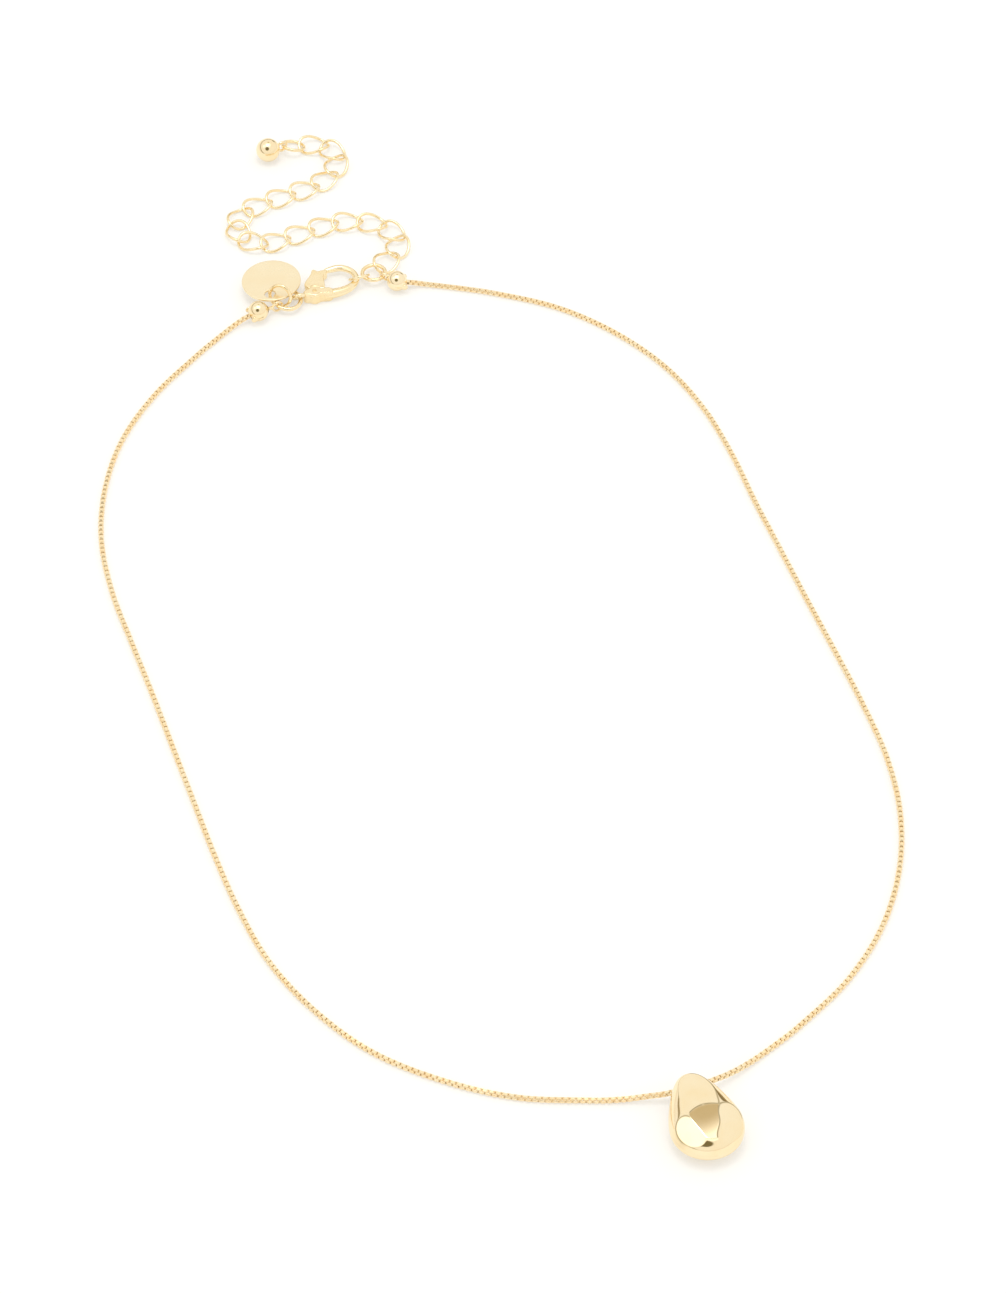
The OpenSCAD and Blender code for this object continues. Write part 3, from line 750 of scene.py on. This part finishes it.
# Middle of the hook as u, v and z, with its width and its height
hookTable = [
    (0.95, 3.05, 1.0, 0.8, 0.8), (2.2, 3.02, 1.0, 1.0, 1.0), (2.9, 2.87, 1.02, 1.0, 1.0),
    (3.5, 2.5, 1.04, 1.0, 0.96), (4.0, 1.95, 1.06, 0.98, 0.92), (4.4, 1.24, 1.06, 0.92, 0.92),
    (4.5, 0.5, 1.06, 0.92, 0.92), (4.4, -0.27, 1.06, 0.92, 0.92), (4.0, -0.9, 1.05, 1.0, 0.96),
    (3.4, -1.35, 1.02, 1.1, 1.06), (2.7, -1.64, 1.0, 1.2, 1.16), (1.5, -1.8, 0.96, 1.36, 1.3),
    (0.4, -1.74, 0.95, 1.45, 1.4), (-1.2, -1.54, 0.95, 1.4, 1.4)]
leverLook = {
    "thick": 1.3, "edge": 0.22,
    "gap": 0.06,       # from the head's boss
    "tongueR": 0.75, "tongueEdge": 0.03,
    "play": 0.1,       # between the tongue and each cheek
    "bladeMiddle": (-1.1, 1.6), "armMiddle": (-2.0, -0.2),
}
bladeOutline = [
    (-0.75, -0.7), (-0.38, 0.3), (-0.15, 1.2), (0.15, 1.95), (0.75, 2.25), (0.72, 2.85),
    (0.1, 2.98), (-0.45, 3.05), (-0.72, 3.42), (-0.95, 3.6), (-1.22, 3.5), (-1.45, 3.1),
    (-2.0, 2.5), (-2.7, 1.9), (-3.2, 1.3), (-3.25, 0.8), (-2.95, 0.1), (-2.6, -0.2), (-1.4, -0.6)]
armOutline = [
    (-2.75, -0.5), (-2.2, -0.8), (-1.7, -0.85), (-1.3, -0.45), (-1.45, 0.15), (-2.1, 0.35),
    (-2.75, 0.3)]


def inClasp(shell):
    # A shell in the clasp's own frame, brought to its place
    return moved(shell, turnZ(claspLook["turn"]), claspLook["place"])


def headOutline(around=180):
    # Reach of the head from the pivot in each direction, over the soft union of its round
    # boss, its neck and its bar, found on a fine ladder of distances
    look = claspLook
    pivot = np.array(look["pivot"])
    a = 2*np.pi*np.arange(around)/around
    ladder = np.arange(0.02, 4, 0.01)
    p = pivot + ladder[None, :, None]*np.stack([np.cos(a), np.sin(a)], -1)[:, None]

    def capsule(end, r):
        # Distance from the line between pivot and end, less a radius
        way = np.array(end) - pivot
        t = np.clip(((p - pivot) @ way)/(way @ way), 0, 1)
        return np.linalg.norm(p - pivot - t[..., None]*way, axis=-1) - r

    gaps = [capsule(look["neckEnd"], look["neckR"]), capsule(look["barEnd"], look["barHalf"]),
            np.linalg.norm(p - pivot, axis=-1) - look["pivotR"]]
    k = look["fillet"]
    gap = -k*np.log(sum(np.exp(-g/k) for g in gaps)) + k*look["trim"]
    reach = np.where(gap < 0, ladder, 0).max(1)
    reach = (np.roll(reach, 1) + 2*reach + np.roll(reach, -1))/4
    return a, reach


def headShells(webSteps=120):
    # Two cheeks with rounded outer edges, and the web between them: a square section carried
    # round the back of the slot, from its round end out to the outline
    look = claspLook
    a, reach = headOutline()
    pivot, cheek, high = look["pivot"], look["cheek"], look["high"]
    outline = np.array(pivot) + reach[:, None]*np.stack([np.cos(a), np.sin(a)], -1)
    low = plate(outline, pivot, 0.0, cheek, look["slotEdge"], look["edge"])
    top = plate(outline, pivot, high - cheek, high, look["edge"], look["slotEdge"])
    behind = np.radians(np.linspace(*look["web"], webSteps))
    far = np.interp(behind, a, reach)
    near = np.full(webSteps, look["slotR"])
    r = np.stack([near, far, far, near], -1)
    z = np.broadcast_to([cheek, cheek, high - cheek, high - cheek], r.shape)
    web = np.stack([pivot[0] + r*np.cos(behind)[:, None],
                    pivot[1] + r*np.sin(behind)[:, None], z], -1)
    return [low, top, skin(web)]


def hookShell(gap=0.22, sides=28):
    # Oval carried along the hook, with a tip that shrinks as a quarter circle does
    p = smoothRoute(hookTable, gap)
    tip = np.linspace(0.08, np.pi/2, 6)[:-1]
    back = unit(p[0, :3] - p[1, :3])
    cap = np.repeat(p[:1], len(tip), 0)
    cap[:, :3] += back*(np.cos(tip)*p[0, 3]/2)[:, None]
    cap[:, 3:] *= np.sin(tip)[:, None]
    p = np.vstack([cap, p])
    return skin(tube(p[:, :3], p[:, 3], p[:, 4], sides))


def leverShells(around=72):
    # Blade held off the head's boss by a gap, and the tongue and arm that turn in the slot
    look, head = leverLook, claspLook
    pivot = np.array(head["pivot"])
    outline = closedCurve(bladeOutline, steps=8)
    out = outline - pivot
    far = np.linalg.norm(out, axis=1, keepdims=True)
    outline = pivot + out/far*np.maximum(far, head["pivotR"] + look["gap"])
    middle, half = head["high"]/2, look["thick"]/2
    blade = plate(outline, look["bladeMiddle"], middle - half, middle + half, look["edge"])
    half = head["high"]/2 - head["cheek"] - look["play"]
    a = 2*np.pi*np.arange(around)/around
    disc = pivot + look["tongueR"]*np.stack([np.cos(a), np.sin(a)], -1)
    tongue = plate(disc, pivot, middle - half, middle + half, look["tongueEdge"])
    arm = plate(armOutline, look["armMiddle"], middle - half, middle + half, look["tongueEdge"])
    return [blade, tongue, arm]


def rivetShell():
    # Pin with a low domed head: the dome's rows follow a quarter turn
    look = claspLook
    t = np.linspace(0, np.pi/2, 6)[:-1]
    domeRows = np.stack([look["rivetR"]*np.cos(t)**look["rivetPower"],
                         look["high"] + look["rivetDome"]*np.sin(t)], -1)
    profile = np.vstack([(look["rivetR"], look["rivetLow"]), domeRows])
    return lathe(profile, sides=48, place=(*look["pivot"], 0))


eye = wireRing(claspLook["eye"], claspLook["eyeR"], claspLook["eyeWire"], claspLook["eyeTilt"])
shells = [inClasp(s) for s in (*headShells(), hookShell(), eye)]
makePiece("hook_clasp", shells, "cast", ["clasp_body"], crease=38)
shells = [inClasp(s) for s in leverShells()]
makePiece("clasp_thumb_lever", shells, "cast", ["clasp_lever"], body="lever", crease=38)
rivet = inClasp(rivetShell())
makePiece("clasp_pin", [rivet], "rivet", ["clasp_rivet"], crease=60)
print("clasp made")


# Extender

extenderLook = {
    "a": 2.26, "b": 1.7, "twist": 0.44, "wire": 0.43,  # half length, half width, rise, wire
    "inset": 0.30, "insetBend": 0.004,  # reach into the next link, and more for each degree
    "lift": 0.01,                       # above the floor
    "start": (-16.0, 66.2),
    "shift": (-0.56, 0.13, 0.26), "turn": (9.8, 3.3, 58),  # the first link, raised on its ring
}
linkHeadings = [64, 82, 131, 164, 183, 206, 206, 204, 162, 111, 61, 30, 27, 25, 47, 77, 127, 178]


def linkMiddles():
    # Each link reaches a little into the next, further where the chain bends
    look = extenderLook
    h = np.radians(np.array(linkHeadings, float))
    way = np.stack([np.cos(h), np.sin(h)], -1)
    bend = np.abs(np.diff(linkHeadings))
    reach = look["inset"] + look["insetBend"]*np.concatenate([[0], bend, [0]])
    step = (2*look["a"] - reach[:-1] - reach[1:])[:, None]*way
    joint = np.array(look["start"]) + np.vstack([[0, 0], np.cumsum(step, 0)])[:-1]
    return joint + (look["a"] - reach[:-1])[:, None]*way


def twistedLink(steps=72, sides=14):
    # Oval of wire whose height swings twice on the way round
    look = extenderLook
    t = 2*np.pi*np.arange(steps)/steps
    path = np.stack([look["a"]*np.cos(t), look["b"]*np.sin(t), -look["twist"]*np.sin(2*t)], -1)
    return tube(path, look["wire"], look["wire"], sides, closed=True)


level = extenderLook["twist"] + extenderLook["wire"]/2 + extenderLook["lift"]
for i, middle in enumerate(linkMiddles()):
    place = np.array([*middle, level])
    turn = turnZ(linkHeadings[i])
    if i == 0:
        x, y, z = extenderLook["turn"]
        turn = turnZ(z) @ turnY(y) @ turnX(x)
        place += extenderLook["shift"]
    link = skin(twistedLink() @ turn.T + place, closed=True)
    makePiece(f"curb_link_{i + 1}", [link], "cast", [f"extender_link_{i + 1}"])
print("extender made")


# Ball at the end

ballLook = {
    "place": (-33.9, 91.45, 1.8), "r": 1.8, "pole": 0.03,
    "eye": (-31.87, 92.78, 1.3), "eyeR": 0.74, "eyeWire": 0.4, "eyeTilt": (94, 120),
}


def ballShell(rows=60, around=96):
    # Half circle turned about its axis
    t = np.linspace(ballLook["pole"], np.pi - ballLook["pole"], rows)
    profile = ballLook["r"]*np.stack([np.sin(t), -np.cos(t)], -1)
    return lathe(profile, around, place=ballLook["place"])


eye = wireRing(ballLook["eye"], ballLook["eyeR"], ballLook["eyeWire"], ballLook["eyeTilt"])
makePiece("end_ball", [ballShell(), eye], "polished", ["end_drop"])
print("ball made")


# Floor, light and camera

# Floor and camera, in metres and degrees
studioLook = {
    "floor": (0.62, 0.615, 0.6), "floorGlow": (0.4, 0.4, 0.395), "floorSize": 6.0,
    "target": (0.00165, -0.0076, 0.0), "distance": 0.6795, "elevation": 48.35,
    "lens": 136.8, "sensor": 36.0, "clip": (0.01, 20),
}
softBox = {"azimuth": 20, "elevation": 84, "distance": 0.9, "wide": 0.3, "high": 0.22, "power": 0.9}
# Brightness of the tent's wall by elevation
wallTones = {
    0: (0.9, 0.87, 0.82), 12: (1.0, 0.98, 0.95), 35: (1.0, 0.99, 0.96), 62: (1.0, 0.99, 0.96),
    68: (1.4, 1.4, 1.4), 90: (1.4, 1.4, 1.4),
}
# Dark edge that runs slantwise round the tent behind the table
wallEdge = {"axis": (0.312, -0.21, 0.927), "inner": 0.04, "outer": 0.09, "tone": (0.38, 0.31, 0.19)}
# Round spots on the wall: azimuth, elevation, inner and outer radius in degrees, tone
wallSpots = {
    "card": (-6, 60, 3, 10, (0.62, 0.52, 0.35)),
    "white": (98, 55, 4, 16, (1.5, 1.5, 1.5)),
    "darkRight": (-26, 8, 7, 11, (0.24, 0.19, 0.1)),
    "lens": (171, 53, 16, 20, (0.2, 0.17, 0.09)),
}


def makeFloor():
    # Square sheet at height 0 that glows a little, so that shadows stay pale
    s = studioLook["floorSize"]
    mesh = bpy.data.meshes.new("floor")
    mesh.from_pydata([(-s, -s, 0), (s, -s, 0), (s, s, 0), (-s, s, 0)], [], [(0, 1, 2, 3)])
    material = bpy.data.materials.new("pale_floor")
    paint = Paint(material)
    surface = paint.add("ShaderNodeBsdfPrincipled", {}, {
        "Base Color": (*studioLook["floor"], 1), "Roughness": 0.9, "Specular IOR Level": 0.0,
        "Emission Color": (*studioLook["floorGlow"], 1), "Emission Strength": 1.0})
    paint.add("ShaderNodeOutputMaterial", {}, {"Surface": surface})
    mesh.materials.append(material)
    floor = bpy.data.objects.new("floor", mesh)
    bpy.context.scene.collection.objects.link(floor)


def wayTo(azimuth, elevation):
    # Unit vector at an azimuth from +Y towards -X and an elevation
    a, e = math.radians(azimuth), math.radians(elevation)
    return (-math.sin(a)*math.cos(e), math.cos(a)*math.cos(e), math.sin(e))


def makeWorld():
    # Tent whose brightness follows the height, with round spots and a dark edge
    world = bpy.data.worlds.new("studio")
    bpy.context.scene.world = world
    paint = Paint(world)
    way = paint.add("ShaderNodeTexCoord", output=0)
    height = paint.add("ShaderNodeSeparateXYZ", {}, {0: way}, 2)
    stops = [(math.sin(math.radians(e))*0.5 + 0.5, tone) for e, tone in wallTones.items()]
    wall = paint.add("ShaderNodeValToRGB", {"stops": stops}, {0: height*0.5 + 0.5})

    def along(axis):
        # How far the view's direction points along an axis
        return paint.add("ShaderNodeVectorMath", {"operation": "DOT_PRODUCT"}, {0: way, 1: axis}, 1)

    for azimuth, elevation, inner, outer, tone in wallSpots.values():
        near, far = math.cos(math.radians(inner)), math.cos(math.radians(outer))
        inside = paint.shareOf(along(wayTo(azimuth, elevation)), far, near)
        wall = paint.mixColours(inside, wall, tone)
    off = paint.add("ShaderNodeMath", {"operation": "ABSOLUTE"}, {0: along(wallEdge["axis"])})
    edge = paint.shareOf(off, wallEdge["outer"], wallEdge["inner"])
    wall = paint.mixColours(edge, wall, wallEdge["tone"])
    background = paint.add("ShaderNodeBackground", {}, {"Color": wall, "Strength": 1.0})
    paint.add("ShaderNodeOutputWorld", {}, {"Surface": background})


def makeLight():
    # Soft box that stands at its distance from the object and faces it
    look = softBox
    lamp = bpy.data.lights.new("soft_box_top", "AREA")
    lamp.shape, lamp.size, lamp.size_y = "RECTANGLE", look["wide"], look["high"]
    lamp.energy = look["power"]
    box = bpy.data.objects.new("soft_box_top", lamp)
    bpy.context.scene.collection.objects.link(box)
    box.location = np.array(wayTo(look["azimuth"], look["elevation"]))*look["distance"]
    box.rotation_euler = (math.radians(look["elevation"] - 90), 0, math.radians(look["azimuth"]))


def makeCamera():
    # Stands in front of its target, at a distance and an elevation, and looks at it
    look = studioLook
    data = bpy.data.cameras.new("camera")
    data.lens, data.sensor_width = look["lens"], look["sensor"]
    data.clip_start, data.clip_end = look["clip"]
    camera = bpy.data.objects.new("camera", data)
    bpy.context.scene.collection.objects.link(camera)
    e = math.radians(look["elevation"])
    x, y, z = look["target"]
    camera.location = (x, y - look["distance"]*math.cos(e), z + look["distance"]*math.sin(e))
    camera.rotation_euler = (math.pi/2 - e, 0, 0)
    bpy.context.scene.camera = camera


makeFloor()
makeWorld()
makeLight()
makeCamera()
bpy.context.scene.view_settings.view_transform = "Standard"
print("studio ready")
